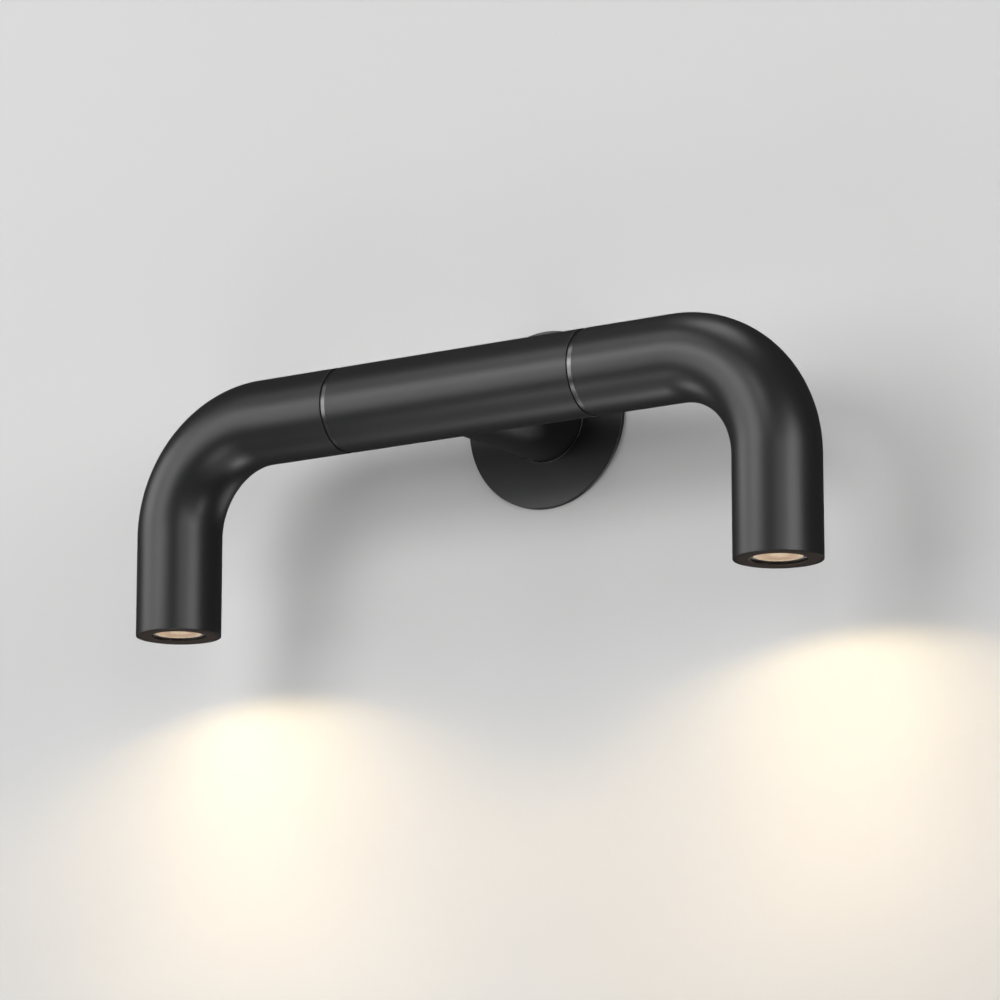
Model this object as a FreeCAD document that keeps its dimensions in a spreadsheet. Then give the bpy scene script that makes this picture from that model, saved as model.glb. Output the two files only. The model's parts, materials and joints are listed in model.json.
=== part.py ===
import FreeCAD, Part
import math
import os
import Sketcher

# Outdoor wall light. A bar tube stands off the wall on a neck, and at each end of the bar an elbow tube
# with a lamp in its mouth turns about the bar's axis.
# Millimetres. The wall is the plane y = 0, the light stands off towards -Y, +X runs to the right along
# the bar as seen from the front, and +Z is up. The origin is the middle of the wall bracket's back.

doc = FreeCAD.newDocument("wall_light")
sheet = doc.addObject("Spreadsheet::Sheet", "Sizes")

sizes = {
    # tubes
    "tube_radius": 30.0,
    "tube_wall": 2.0,
    "tube_edge": 0.4,
    "bar_length": 197.0,
    "standoff": 102.0,
    "head_spacing": 486.0,
    "head_drop": 145.0,
    "bend_radius": 74.5,
    "bar_cable_inset": 8.0,
    # clearances shared by many pieces
    "slip_gap": 0.1,
    "running_gap": 0.05,
    "swing_gap": 0.3,
    "thread_gap": 0.05,
    "turned_edge": 0.3,
    # wall bracket
    "bracket_margin": 2.4,
    "bracket_sheet": 2.0,
    "slot_margin": 2.0,
    "slot_length": 9.0,
    "slot_width": 5.2,
    # cable grommet
    "cable_radius": 4.25,
    "grommet_radius": 8.0,
    "grommet_flange_radius": 10.5,
    "grommet_flange": 2.5,
    "grommet_length": 12.0,
    "grommet_tip_radius": 6.5,
    # spigot
    "spigot_wall": 3.9,
    "spigot_height": 18.0,
    "boss_inset": 1.4,
    "boss_radius": 3.6,
    "grub_height": 12.0,
    "grub_radius": 2.0,
    "grub_groove_depth": 1.2,
    "grub_groove_width": 5.0,
    "grub_recess": 0.4,
    "grub_socket_radius": 1.1,
    "grub_socket_depth": 1.5,
    "grub_turn": 45.0,
    "grub_spread": 90.0,
    # screws
    "screw_radius": 1.5,
    "screw_head_radius": 2.75,
    "screw_head_height": 1.8,
    "screw_socket_radius": 1.2,
    "screw_socket_depth": 1.0,
    "sunk_head_radius": 3.0,
    "screw_length": 8.0,
    "spigot_screw_length": 12.0,
    # rosette and its gasket
    "rosette_radius": 63.5,
    "rosette_depth": 3.3,
    "rosette_sheet": 1.0,
    "rosette_play": 0.25,
    "rosette_edge": 0.4,
    "gasket_width": 5.0,
    # terminals
    "strap_end": 3.0,
    "strap_width": 7.0,
    "strap_sheet": 1.2,
    "terminal_gap": 3.25,
    "terminal_width": 12.5,
    "terminal_height": 12.0,
    "terminal_edge": 0.6,
    "terminal_pitch_share": 0.3,
    "terminal_well_share": 0.367,
    "terminal_well_depth": 4.0,
    "terminal_screw_play": 0.2,
    "terminal_screw_length": 3.0,
    "blade_slot_width": 0.8,
    "blade_slot_depth": 0.8,
    # leads
    "supply_lead_radius": 1.2,
    "supply_lead_bend": 7.0,
    "lamp_lead_radius": 2.2,
    "lamp_lead_bend": 50.0,
    "lamp_lead_inset": 9.9,
    "lead_joint_place": 20.0,
    # driver and its tray
    "driver_length": 100.0,
    "driver_height": 30.0,
    "driver_depth": 20.0,
    "driver_back": 4.0,
    "driver_edge": 2.0,
    "driver_screw_spacing": 80.0,
    "tray_sheet": 1.2,
    "tray_cable_radius": 9.0,
    # swivel
    "ring_width": 4.0,
    "ring_recess": 1.0,
    "plug_length": 16.0,
    "plug_wall": 7.9,
    "hub_web": 4.0,
    "journal_inset": 13.9,
    "journal_wall": 5.0,
    "journal_length": 29.0,
    "washer_width": 4.0,
    "washer_thick": 1.0,
    "washer_gap": 0.1,
    "collar_web": 8.0,
    "collar_length": 16.0,
    "collar_sleeve_wall": 5.0,
    "collar_rim": 4.0,
    "pin_inset": 6.4,
    "pin_radius": 1.5,
    "pin_seat": 3.0,
    "pin_reach": 3.0,
    "pin_play": 0.4,
    "pin_end_gap": 0.5,
    "swing_out": 210.0,
    "swing_in": 30.0,
    "spring_width": 4.5,
    "spring_thick": 0.8,
    "spring_rise": 0.6,
    "nut_width": 6.0,
    "nut_length": 5.0,
    "nut_slot_width": 3.0,
    "nut_slot_depth": 2.0,
    "seal_section": 1.0,
    "seal_place": 4.0,
    # head
    "bezel_lip": 1.2,
    "bezel_lip_width": 4.6,
    "bezel_skirt": 14.0,
    "bezel_wall": 3.9,
    "bezel_seal_place": 8.0,
    "glass_thick": 1.5,
    "glass_seal_width": 1.1,
    "lens_flange": 1.5,
    "lens_shoulder_share": 0.92,
    "lens_tip_share": 0.357,
    "lens_well_share": 0.264,
    "lens_height": 15.0,
    "lens_well_depth": 4.0,
    "holder_gap": 0.1,
    "holder_wall": 5.6,
    "holder_lip": 0.6,
    "holder_lip_width": 2.0,
    "board_margin": 2.0,
    "board_thick": 1.6,
    "chip_gap": 0.6,
    "chip_thick": 0.9,
    "board_screw_margin": 2.05,
    "sink_base": 7.0,
    "sink_length": 28.0,
    "sink_core_margin": 1.95,
    "fin_thick": 2.0,
    # cutting tools run past what they cut by this much
    "overrun": 1.0,
}
bracket_screw_count = 4
grub_count = 2
terminal_count = 3
nut_slot_count = 4
fin_count = 12

for row, (name, number) in enumerate(sizes.items(), start=1):
    sheet.set("A%d" % row, name)
    sheet.set("B%d" % row, str(number))
    sheet.setAlias("B%d" % row, name)
doc.recompute()


class Size:
    # A number together with the sheet expression that gives it, so that sums of sizes stay bound.
    def __init__(self, value, text):
        self.value = value
        self.text = text

    def __add__(self, other):
        return Size(self.value + value_of(other), "(%s + %s)" % (self.text, text_of(other)))

    def __sub__(self, other):
        return Size(self.value - value_of(other), "(%s - %s)" % (self.text, text_of(other)))

    def __mul__(self, factor):
        return Size(self.value * value_of(factor), "(%s * %s)" % (self.text, text_of(factor)))

    def __truediv__(self, divisor):
        return Size(self.value / value_of(divisor), "(%s / %s)" % (self.text, text_of(divisor)))

    def __neg__(self):
        return self * -1

    __rmul__ = __mul__


def value_of(number):
    return number.value if isinstance(number, Size) else number


def text_of(number):
    return number.text if isinstance(number, Size) else repr(number)


def other_leg(long_side, side):
    # the third side of a right-angled triangle
    reach = math.sqrt(long_side.value ** 2 - side.value ** 2)
    return Size(reach, "sqrt(%s ^ 2 - %s ^ 2)" % (long_side.text, side.text))


def arc_degrees(half_width, radius):
    # the angle that a half width takes up at a radius
    angle = math.degrees(math.asin(half_width.value / radius.value))
    return Size(angle, "(asin(%s / %s) / 1 deg)" % (half_width.text, radius.text))


class Sheet:
    pass


s = Sheet()
for name, number in sizes.items():
    setattr(s, name, Size(number, "Sizes." + name))

# places that several pieces share
inner_radius = s.tube_radius - s.tube_wall
fitted_radius = inner_radius - s.slip_gap
bar_half = s.bar_length / 2
head_place = s.head_spacing / 2
elbow_start = bar_half + s.ring_width
spigot_inner = fitted_radius - s.spigot_wall
boss_place = (spigot_inner - s.boss_inset) / math.sqrt(2)
slot_place = spigot_inner - s.slot_margin - s.slot_length / 2
screw_hole_radius = s.screw_radius + s.thread_gap
lamp_lead_offset = fitted_radius - s.lamp_lead_inset

# local +Z of a piece on the neck points out of the wall
out_of_wall = FreeCAD.Rotation(FreeCAD.Vector(1, 0, 0), 90)
# local +Z of a swivel piece points outwards along the bar, and its local +X points down
swivel_turns = {
    "left": FreeCAD.Rotation(FreeCAD.Vector(1, 0, -1), 180),
    "right": FreeCAD.Rotation(FreeCAD.Vector(0, 1, 0), 90),
}
# local +X of an elbow or head piece points outwards along the bar
head_turns = {
    "left": FreeCAD.Rotation(FreeCAD.Vector(0, 0, 1), 180),
    "right": FreeCAD.Rotation(),
}
side_signs = {"left": -1, "right": 1}


def bind(feature, prop, size):
    if isinstance(size, Size):
        feature.setExpression(prop, size.text)
    else:
        setattr(feature, prop, size)


def place(piece, x=0, y=0, z=0, turn=FreeCAD.Rotation()):
    piece.Placement = FreeCAD.Placement(FreeCAD.Vector(value_of(x), value_of(y), value_of(z)), turn)
    for axis, size in (("x", x), ("y", y), ("z", z)):
        if isinstance(size, Size):
            piece.setExpression("Placement.Base." + axis, size.text)


def place_on_neck(piece):
    place(piece, turn=out_of_wall)


def place_on_swivel(piece, side):
    place(piece, bar_half * side_signs[side], -s.standoff, 0, swivel_turns[side])


def place_in_head(piece, side):
    place(piece, head_place * side_signs[side], -s.standoff, -s.head_drop, head_turns[side])


def new_body(name):
    body = doc.addObject("PartDesign::Body", name)
    body.Label = name
    return body


def origin_feature(body, role):
    return [feature for feature in body.Origin.OriginFeatures if feature.Role == role][0]


def new_sketch(body, plane, height=0):
    sketch = body.newObject("Sketcher::SketchObject", body.Name + "_sketch")
    sketch.AttachmentSupport = (origin_feature(body, plane), [""])
    sketch.MapMode = "FlatFace"
    if isinstance(height, Size):
        sketch.setExpression("AttachmentOffset.Base.z", height.text)
    return sketch


def fix_point(sketch, geometry, end, across, up):
    for kind, axis, size in (("DistanceX", -2, across), ("DistanceY", -1, up)):
        if value_of(size) == 0:
            sketch.addConstraint(Sketcher.Constraint("PointOnObject", geometry, end, axis))
        else:
            row = sketch.addConstraint(Sketcher.Constraint(kind, geometry, end, size.value))
            sketch.setExpression("Constraints[%d]" % row, size.text)


def fix_point_height(sketch, geometry, end, up):
    row = sketch.addConstraint(Sketcher.Constraint("DistanceY", geometry, end, up.value))
    sketch.setExpression("Constraints[%d]" % row, up.text)


def draw_outline(sketch, corners):
    first = sketch.GeometryCount
    count = len(corners)
    points = [FreeCAD.Vector(value_of(across), value_of(up), 0) for across, up in corners]
    for index, point in enumerate(points):
        sketch.addGeometry(Part.LineSegment(point, points[(index + 1) % count]))
    for index in range(count):
        follower = first + (index + 1) % count
        sketch.addConstraint(Sketcher.Constraint("Coincident", first + index, 2, follower, 1))
    for index, (across, up) in enumerate(corners):
        fix_point(sketch, first + index, 1, across, up)


def draw_rectangle(sketch, width, height, across=0, up=0):
    half_width = width / 2
    half_height = height / 2
    left = across - half_width if isinstance(across, Size) else -half_width
    right = half_width + across
    low = up - half_height if isinstance(up, Size) else -half_height
    high = half_height + up
    draw_outline(sketch, [(left, low), (right, low), (right, high), (left, high)])


def draw_circle(sketch, radius, across=0, up=0):
    centre = FreeCAD.Vector(value_of(across), value_of(up), 0)
    index = sketch.addGeometry(Part.Circle(centre, FreeCAD.Vector(0, 0, 1), radius.value))
    fix_point(sketch, index, 3, across, up)
    row = sketch.addConstraint(Sketcher.Constraint("Radius", index, radius.value))
    sketch.setExpression("Constraints[%d]" % row, radius.text)


def draw_upright_axis(sketch, across):
    # a construction line to turn a profile about, away from the sketch's own axes
    foot = FreeCAD.Vector(across.value, 0, 0)
    head = FreeCAD.Vector(across.value, across.value, 0)
    index = sketch.addGeometry(Part.LineSegment(foot, head), True)
    sketch.addConstraint(Sketcher.Constraint("Vertical", index))
    fix_point(sketch, index, 1, across, 0)
    fix_point_height(sketch, index, 2, across)


def draw_slot(sketch, length, width, across):
    # a slot along the sketch's X axis with round ends, centred at a place on that axis
    radius = width / 2
    reach = length / 2 - radius
    first = sketch.GeometryCount
    ends = ((across - reach, 1), (across + reach, -1))
    for centre, sign in ends:
        circle = Part.Circle(FreeCAD.Vector(centre.value, 0, 0), FreeCAD.Vector(0, 0, 1), radius.value)
        start = sign * math.pi / 2
        sketch.addGeometry(Part.ArcOfCircle(circle, start, start + math.pi))
    for up in (-radius, radius):
        start = FreeCAD.Vector((across - reach).value, up.value, 0)
        sketch.addGeometry(Part.LineSegment(start, FreeCAD.Vector((across + reach).value, up.value, 0)))
    joints = (
        (first, 2, first + 2, 1),
        (first + 2, 2, first + 1, 1),
        (first + 1, 2, first + 3, 2),
        (first + 3, 1, first, 1),
    )
    for joint in joints:
        sketch.addConstraint(Sketcher.Constraint("Tangent", *joint))
    for index, (centre, sign) in enumerate(ends):
        fix_point(sketch, first + index, 3, centre, 0)
    row = sketch.addConstraint(Sketcher.Constraint("Radius", first, radius.value))
    sketch.setExpression("Constraints[%d]" % row, radius.text)


def add_feature(body, kind, sketch):
    feature = body.newObject("PartDesign::" + kind, body.Name + "_" + kind.lower())
    feature.Profile = sketch
    return feature


def pad(body, sketch, length, both_sides=False, reverse=False):
    feature = add_feature(body, "Pad", sketch)
    bind(feature, "Length", length)
    feature.Reversed = reverse
    if both_sides:
        feature.SideType = "Symmetric"
    return feature


def pocket(body, sketch, depth, both_sides=False, reverse=False):
    feature = add_feature(body, "Pocket", sketch)
    bind(feature, "Length", depth)
    feature.Reversed = reverse
    if both_sides:
        feature.SideType = "Symmetric"
    return feature


def revolve(body, sketch, axis="V_Axis"):
    feature = add_feature(body, "Revolution", sketch)
    feature.ReferenceAxis = (sketch, [axis])
    feature.Angle = 360
    return feature


def groove(body, sketch, axis="V_Axis"):
    feature = add_feature(body, "Groove", sketch)
    feature.ReferenceAxis = (sketch, [axis])
    feature.Angle = 360
    return feature


def turned(name, outline):
    # a piece turned about its own Z axis from an outline of (radius, height) corners
    body = new_body(name)
    sketch = new_sketch(body, "XZ_Plane")
    draw_outline(sketch, outline)
    revolve(body, sketch)
    return body


def polar(body, feature, count, angle=360):
    pattern = body.newObject("PartDesign::PolarPattern", body.Name + "_pattern")
    pattern.Originals = [feature]
    pattern.Axis = (origin_feature(body, "Z_Axis"), [""])
    pattern.Angle = angle
    pattern.Occurrences = count
    body.Tip = pattern
    return pattern


def ring_of(name, inner, outer, low, high):
    return turned(name, [(inner, low), (outer, low), (outer, high), (inner, high)])


def round_ring(name, middle_radius, section_radius, height):
    # an O-ring: a round section turned about the piece's Z axis
    body = new_body(name)
    sketch = new_sketch(body, "XZ_Plane")
    draw_circle(sketch, section_radius, middle_radius, height)
    revolve(body, sketch)
    return body


def socket(body, radius, depth, top, places):
    # hexagonal sockets cut down from a height
    sketch = new_sketch(body, "XY_Plane", top)
    half = radius / 2
    side = other_leg(radius, half)
    for across, up in places:
        corners = [(radius, 0), (half, side), (-half, side), (-radius, 0), (-half, -side), (half, -side)]
        draw_outline(sketch, [(x + across, up + y if isinstance(up, Size) else y) for x, y in corners])
    return pocket(body, sketch, depth)


def cap_screws(name, places, face, length):
    # cap-head screws whose heads stand on a face, with their shanks running down from it
    body = new_body(name)
    heads = new_sketch(body, "XY_Plane", face)
    for across, up in places:
        draw_circle(heads, s.screw_head_radius, across, up)
    pad(body, heads, s.screw_head_height)
    shanks = new_sketch(body, "XY_Plane", face)
    for across, up in places:
        draw_circle(shanks, s.screw_radius, across, up)
    pad(body, shanks, length, reverse=True)
    socket(body, s.screw_socket_radius, s.screw_socket_depth, face + s.screw_head_height, places)
    return body


def corner_places(reach):
    return [(reach, reach), (-reach, reach), (-reach, -reach), (reach, -reach)]


def rounded_path(points, bend):
    # straight runs joined by tangent arcs of one radius
    edges = []
    start = points[0]
    for before, corner, after in zip(points, points[1:], points[2:]):
        arriving = (corner - before).normalize()
        leaving = (after - corner).normalize()
        turn = arriving.getAngle(leaving)
        cut = bend * math.tan(turn / 2)
        enter = corner - arriving * cut
        leave = corner + leaving * cut
        to_centre = (leaving - arriving).normalize()
        middle = corner + to_centre * (bend / math.cos(turn / 2) - bend)
        edges.append(Part.LineSegment(start, enter).toShape())
        edges.append(Part.Arc(enter, middle, leave).toShape())
        start = leave
    edges.append(Part.LineSegment(start, points[-1]).toShape())
    return Part.Wire(edges)


def lead_solid(points, radius, bend):
    # a round insulated lead along a path
    corners = [FreeCAD.Vector(*[value_of(size) for size in point]) for point in points]
    path = rounded_path(corners, bend.value)
    start = path.Edges[0]
    circle = Part.Circle(start.Vertexes[0].Point, start.tangentAt(start.FirstParameter), radius.value)
    section = Part.Wire([circle.toShape()])
    return path.makePipeShell([section], True, False)


def lead_node(name, shape):
    node = doc.addObject("Part::Feature", name)
    node.Label = name
    node.Shape = shape
    return node


# Wall bracket, grommet and spigot


gasket_outer = s.rosette_radius - s.rosette_sheet - s.slip_gap
gasket_inner = gasket_outer - s.gasket_width


def make_wall_bracket():
    body = new_body("wall_bracket")
    disc = new_sketch(body, "XY_Plane")
    draw_circle(disc, gasket_inner - s.bracket_margin)
    pad(body, disc, s.bracket_sheet)
    openings = new_sketch(body, "XY_Plane")
    draw_circle(openings, s.grommet_radius)
    for sign in (-1, 1):
        draw_slot(openings, s.slot_length, s.slot_width, slot_place * sign)
    for across, up in corner_places(boss_place):
        draw_circle(openings, screw_hole_radius, across, up)
    pocket(body, openings, s.bracket_sheet, reverse=True)
    # countersinks for the spigot screws, open towards the wall
    sunk_radius = s.sunk_head_radius + s.thread_gap
    sinks = new_sketch(body, "XZ_Plane", -boss_place)
    draw_outline(sinks, [
        (boss_place, 0),
        (boss_place + sunk_radius, 0),
        (boss_place + screw_hole_radius, sunk_radius - screw_hole_radius),
        (boss_place, sunk_radius - screw_hole_radius),
    ])
    draw_upright_axis(sinks, boss_place)
    cut = groove(body, sinks, "Axis0")
    polar(body, cut, bracket_screw_count)
    place_on_neck(body)


def make_cable_grommet():
    fitted = s.grommet_radius - s.slip_gap
    flange_top = s.bracket_sheet + s.grommet_flange
    body = turned("cable_grommet", [
        (s.cable_radius, 0),
        (fitted, 0),
        (fitted, s.bracket_sheet),
        (s.grommet_flange_radius, s.bracket_sheet),
        (s.grommet_flange_radius, flange_top),
        (fitted, flange_top),
        (s.grommet_tip_radius, s.grommet_length),
        (s.cable_radius, s.grommet_length),
    ])
    place_on_neck(body)


spigot_top = s.bracket_sheet + s.spigot_height


def make_neck_spigot():
    body = ring_of("neck_spigot", spigot_inner, fitted_radius, s.bracket_sheet, spigot_top)
    bosses = new_sketch(body, "XY_Plane", s.bracket_sheet)
    for across, up in corner_places(boss_place):
        draw_circle(bosses, s.boss_radius, across, up)
    pad(body, bosses, s.spigot_height)
    holes = new_sketch(body, "XY_Plane", spigot_top)
    for across, up in corner_places(boss_place):
        draw_circle(holes, screw_hole_radius, across, up)
    pocket(body, holes, s.spigot_height)
    # a groove all round for the tips of the grub screws
    half_groove = s.grub_groove_width / 2
    ring = new_sketch(body, "XZ_Plane")
    draw_outline(ring, [
        (fitted_radius - s.grub_groove_depth, s.grub_height - half_groove + s.grub_groove_depth),
        (fitted_radius, s.grub_height - half_groove),
        (fitted_radius, s.grub_height + half_groove),
        (fitted_radius - s.grub_groove_depth, s.grub_height + half_groove - s.grub_groove_depth),
    ])
    groove(body, ring)
    place_on_neck(body)


def make_spigot_screws():
    # four countersunk screws from the wall side
    body = new_body("spigot_screws")
    profile = new_sketch(body, "XZ_Plane", -boss_place)
    shank_start = s.sunk_head_radius - s.screw_radius
    draw_outline(profile, [
        (boss_place, 0),
        (boss_place + s.sunk_head_radius, 0),
        (boss_place + s.screw_radius, shank_start),
        (boss_place + s.screw_radius, s.spigot_screw_length),
        (boss_place, s.spigot_screw_length),
    ])
    draw_upright_axis(profile, boss_place)
    screw = revolve(body, profile, "Axis0")
    polar(body, screw, bracket_screw_count)
    place_on_neck(body)


def make_neck_grub_screws():
    # two cone-point screws through the neck's upper side into the spigot's groove
    body = new_body("neck_grub_screws")
    profile = new_sketch(body, "XZ_Plane")
    profile.setExpression("AttachmentOffset.Base.y", s.grub_height.text)
    tip = fitted_radius - s.grub_groove_depth + s.slip_gap
    head = s.tube_radius - s.grub_recess
    draw_outline(profile, [
        (tip, 0),
        (tip, s.grub_radius / 2),
        (tip + s.grub_radius / 2, s.grub_radius),
        (head, s.grub_radius),
        (head, s.grub_socket_radius),
        (head - s.grub_socket_depth, s.grub_socket_radius),
        (head - s.grub_socket_depth, 0),
    ])
    screw = revolve(body, profile, "H_Axis")
    polar(body, screw, grub_count, s.grub_spread.value)
    grub_turn = FreeCAD.Rotation(FreeCAD.Vector(0, 0, 1), s.grub_turn.value)
    place(body, turn=out_of_wall.multiply(grub_turn))
    return body


# Rosette, neck and bar


def make_rosette():
    hole = s.tube_radius + s.rosette_play
    under = s.rosette_depth - s.rosette_sheet
    body = turned("rosette", [
        (hole, under),
        (s.rosette_radius - s.rosette_sheet, under),
        (s.rosette_radius - s.rosette_sheet, 0),
        (s.rosette_radius, 0),
        (s.rosette_radius, s.rosette_depth - s.rosette_edge),
        (s.rosette_radius - s.rosette_edge, s.rosette_depth),
        (hole + s.rosette_edge, s.rosette_depth),
        (hole, s.rosette_depth - s.rosette_edge),
    ])
    place_on_neck(body)


def make_rosette_gasket():
    under = s.rosette_depth - s.rosette_sheet
    body = ring_of("rosette_gasket", gasket_inner, gasket_outer, 0, under)
    place_on_neck(body)


def make_neck_tube():
    body = ring_of("neck_tube", inner_radius, s.tube_radius, s.bracket_sheet, s.standoff)
    cope = new_sketch(body, "YZ_Plane")
    draw_circle(cope, s.tube_radius, 0, s.standoff)
    pocket(body, cope, s.tube_radius * 2 + s.overrun, both_sides=True)
    hole = new_sketch(body, "XZ_Plane")
    grub_turn = FreeCAD.Rotation(FreeCAD.Vector(0, 1, 0), s.grub_turn.value)
    hole.AttachmentOffset = FreeCAD.Placement(FreeCAD.Vector(0, s.grub_height.value, 0), grub_turn)
    hole.setExpression("AttachmentOffset.Base.y", s.grub_height.text)
    draw_outline(hole, [
        (inner_radius - s.overrun, 0),
        (inner_radius - s.overrun, s.grub_radius + s.thread_gap),
        (s.tube_radius + s.overrun, s.grub_radius + s.thread_gap),
        (s.tube_radius + s.overrun, 0),
    ])
    cut = groove(body, hole, "H_Axis")
    polar(body, cut, grub_count, s.grub_spread.value)
    place_on_neck(body)


def make_bar_tube():
    body = new_body("bar_tube")
    profile = new_sketch(body, "XZ_Plane")
    draw_outline(profile, [
        (-bar_half, inner_radius),
        (bar_half, inner_radius),
        (bar_half, s.tube_radius - s.tube_edge),
        (bar_half - s.tube_edge, s.tube_radius),
        (s.tube_edge - bar_half, s.tube_radius),
        (-bar_half, s.tube_radius - s.tube_edge),
    ])
    revolve(body, profile, "H_Axis")
    # the leads enter through the wall side, inside the neck
    hole = new_sketch(body, "XZ_Plane")
    draw_circle(hole, inner_radius - s.bar_cable_inset)
    pocket(body, hole, s.tube_radius + s.overrun)
    place(body, 0, -s.standoff, 0)


# Terminals


strap_top = spigot_top + s.strap_sheet
strap_screw_places = [(-boss_place, boss_place), (boss_place, boss_place)]


def make_terminal_strap():
    body = new_body("terminal_strap")
    plate = new_sketch(body, "XY_Plane", spigot_top)
    draw_rectangle(plate, (boss_place + s.strap_end) * 2, s.strap_width, 0, boss_place)
    pad(body, plate, s.strap_sheet)
    holes = new_sketch(body, "XY_Plane", strap_top)
    for across, up in strap_screw_places:
        draw_circle(holes, screw_hole_radius, across, up)
    pocket(body, holes, s.strap_sheet)
    place_on_neck(body)


def make_strap_screws():
    free_depth = spigot_top - s.spigot_screw_length
    body = cap_screws("strap_screws", strap_screw_places, strap_top, free_depth - s.overrun)
    place_on_neck(body)


terminal_top = strap_top + s.terminal_height
terminal_length = (boss_place - s.screw_head_radius - s.terminal_gap) * 2
terminal_pitch = terminal_length * s.terminal_pitch_share
terminal_well_radius = terminal_pitch * s.terminal_well_share
terminal_places = [terminal_pitch * (step - (terminal_count - 1) / 2) for step in range(terminal_count)]


def make_terminal_block():
    body = new_body("terminal_block")
    block = new_sketch(body, "XY_Plane", strap_top)
    draw_rectangle(block, terminal_length, s.terminal_width, 0, boss_place)
    shell = pad(body, block, s.terminal_height)
    doc.recompute()
    rounding = body.newObject("PartDesign::Fillet", "terminal_block_fillet")
    rounding.Base = (shell, edges_along(shell.Shape, "z"))
    bind(rounding, "Radius", s.terminal_edge)
    wells = new_sketch(body, "XY_Plane", terminal_top)
    for across in terminal_places:
        draw_circle(wells, terminal_well_radius, across if across.value else 0, boss_place)
    pocket(body, wells, s.terminal_well_depth)
    place_on_neck(body)


def make_terminal_screws():
    floor = terminal_top - s.terminal_well_depth
    body = new_body("terminal_screws")
    sketch = new_sketch(body, "XY_Plane", floor)
    for across in terminal_places:
        draw_circle(sketch, terminal_well_radius - s.terminal_screw_play, across if across.value else 0, boss_place)
    pad(body, sketch, s.terminal_screw_length)
    slots = new_sketch(body, "XY_Plane", floor + s.terminal_screw_length)
    draw_rectangle(slots, terminal_length, s.blade_slot_width, 0, boss_place)
    pocket(body, slots, s.blade_slot_depth)
    place_on_neck(body)


def make_supply_leads():
    # from under the terminal block, down to the middle of the neck and straight out to the driver
    block_low = boss_place - s.terminal_width / 2
    height = strap_top + s.terminal_height / 2
    driver_face = s.standoff - s.driver_back
    leads = []
    for across in terminal_places:
        points = [(across, -height, block_low), (across, -height, 0), (across, -driver_face, 0)]
        leads.append(lead_solid(points, s.supply_lead_radius, s.supply_lead_bend))
    lead_node("supply_leads", Part.Compound(leads))


# Driver inside the bar, modelled about the bar's middle with local Y towards the wall


tray_back = s.driver_back + s.tray_sheet
driver_screw_places = [s.driver_screw_spacing / 2 * sign for sign in (-1, 1)]


def edges_along(shape, axis):
    names = []
    for index, edge in enumerate(shape.Edges, start=1):
        box = edge.BoundBox
        spans = {"x": box.XLength, "y": box.YLength, "z": box.ZLength}
        if spans[axis] > 0 and all(spans[key] < spans[axis] * 1e-6 for key in spans if key != axis):
            names.append("Edge%d" % index)
    return names


def make_driver_case():
    body = new_body("driver_case")
    block = new_sketch(body, "XZ_Plane", -s.driver_back)
    draw_rectangle(block, s.driver_length, s.driver_height)
    shell = pad(body, block, s.driver_depth)
    doc.recompute()
    rounding = body.newObject("PartDesign::Fillet", "driver_case_fillet")
    rounding.Base = (shell, edges_along(shell.Shape, "y"))
    bind(rounding, "Radius", s.driver_edge)
    holes = new_sketch(body, "XZ_Plane", -s.driver_back)
    for across in driver_screw_places:
        draw_circle(holes, screw_hole_radius, across, 0)
    pocket(body, holes, s.screw_length, reverse=True)
    place(body, 0, -s.standoff, 0)


def make_driver_tray():
    # a plate that slides along the bar until its long edges rest on the tube's inside
    body = new_body("driver_tray")
    half_width = other_leg(fitted_radius, tray_back)
    half_length = bar_half - s.plug_length
    plate = new_sketch(body, "XZ_Plane", -tray_back)
    draw_rectangle(plate, half_length * 2, half_width * 2)
    pad(body, plate, s.tray_sheet)
    holes = new_sketch(body, "XZ_Plane", -tray_back)
    draw_circle(holes, s.tray_cable_radius)
    for across in driver_screw_places:
        draw_circle(holes, screw_hole_radius, across, 0)
    pocket(body, holes, s.tray_sheet, reverse=True)
    place(body, 0, -s.standoff, 0)


def make_driver_screws():
    places = [(across, 0) for across in driver_screw_places]
    body = cap_screws("driver_screws", places, tray_back, s.screw_length)
    place(body, 0, -s.standoff, 0, FreeCAD.Rotation(FreeCAD.Vector(1, 0, 0), -90))


def make_output_lead(side):
    # from the driver's end straight along the bar's axis into the hollow journal
    reach = bar_half + s.lead_joint_place
    body = new_body(side + "_output_lead")
    sketch = new_sketch(body, "XY_Plane", s.driver_length / 2)
    draw_circle(sketch, s.lamp_lead_radius)
    pad(body, sketch, reach - s.driver_length / 2)
    place(body, 0, -s.standoff, 0, swivel_turns[side])


# Swivels, modelled about the bar's axis from the bar's end face outwards


ring_face = s.ring_width - s.swing_gap
washer_top = ring_face + s.washer_thick
collar_face = washer_top + s.washer_gap
collar_top = collar_face + s.collar_length
spring_face = collar_top + s.washer_gap
spring_top = spring_face + s.spring_thick + s.spring_rise
nut_top = spring_top + s.nut_length
journal_radius = fitted_radius - s.journal_inset
journal_bore = journal_radius - s.journal_wall
thread_radius = journal_radius + s.thread_gap
pin_circle = fitted_radius - s.pin_inset


def make_swivel_hub(side):
    ring_radius = s.tube_radius - s.ring_recess
    body = turned(side + "_swivel_hub", [
        (journal_bore, -s.hub_web),
        (fitted_radius - s.plug_wall, -s.hub_web),
        (fitted_radius - s.plug_wall, -s.plug_length),
        (fitted_radius, -s.plug_length),
        (fitted_radius, 0),
        (ring_radius - s.turned_edge, 0),
        (ring_radius, s.turned_edge),
        (ring_radius, ring_face - s.turned_edge),
        (ring_radius - s.turned_edge, ring_face),
        (journal_radius, ring_face),
        (journal_radius, s.journal_length),
        (journal_bore, s.journal_length),
    ])
    seat = new_sketch(body, "XY_Plane", ring_face)
    draw_circle(seat, s.pin_radius, 0, pin_circle * -side_signs[side])
    pocket(body, seat, s.pin_seat)
    place_on_swivel(body, side)


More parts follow.
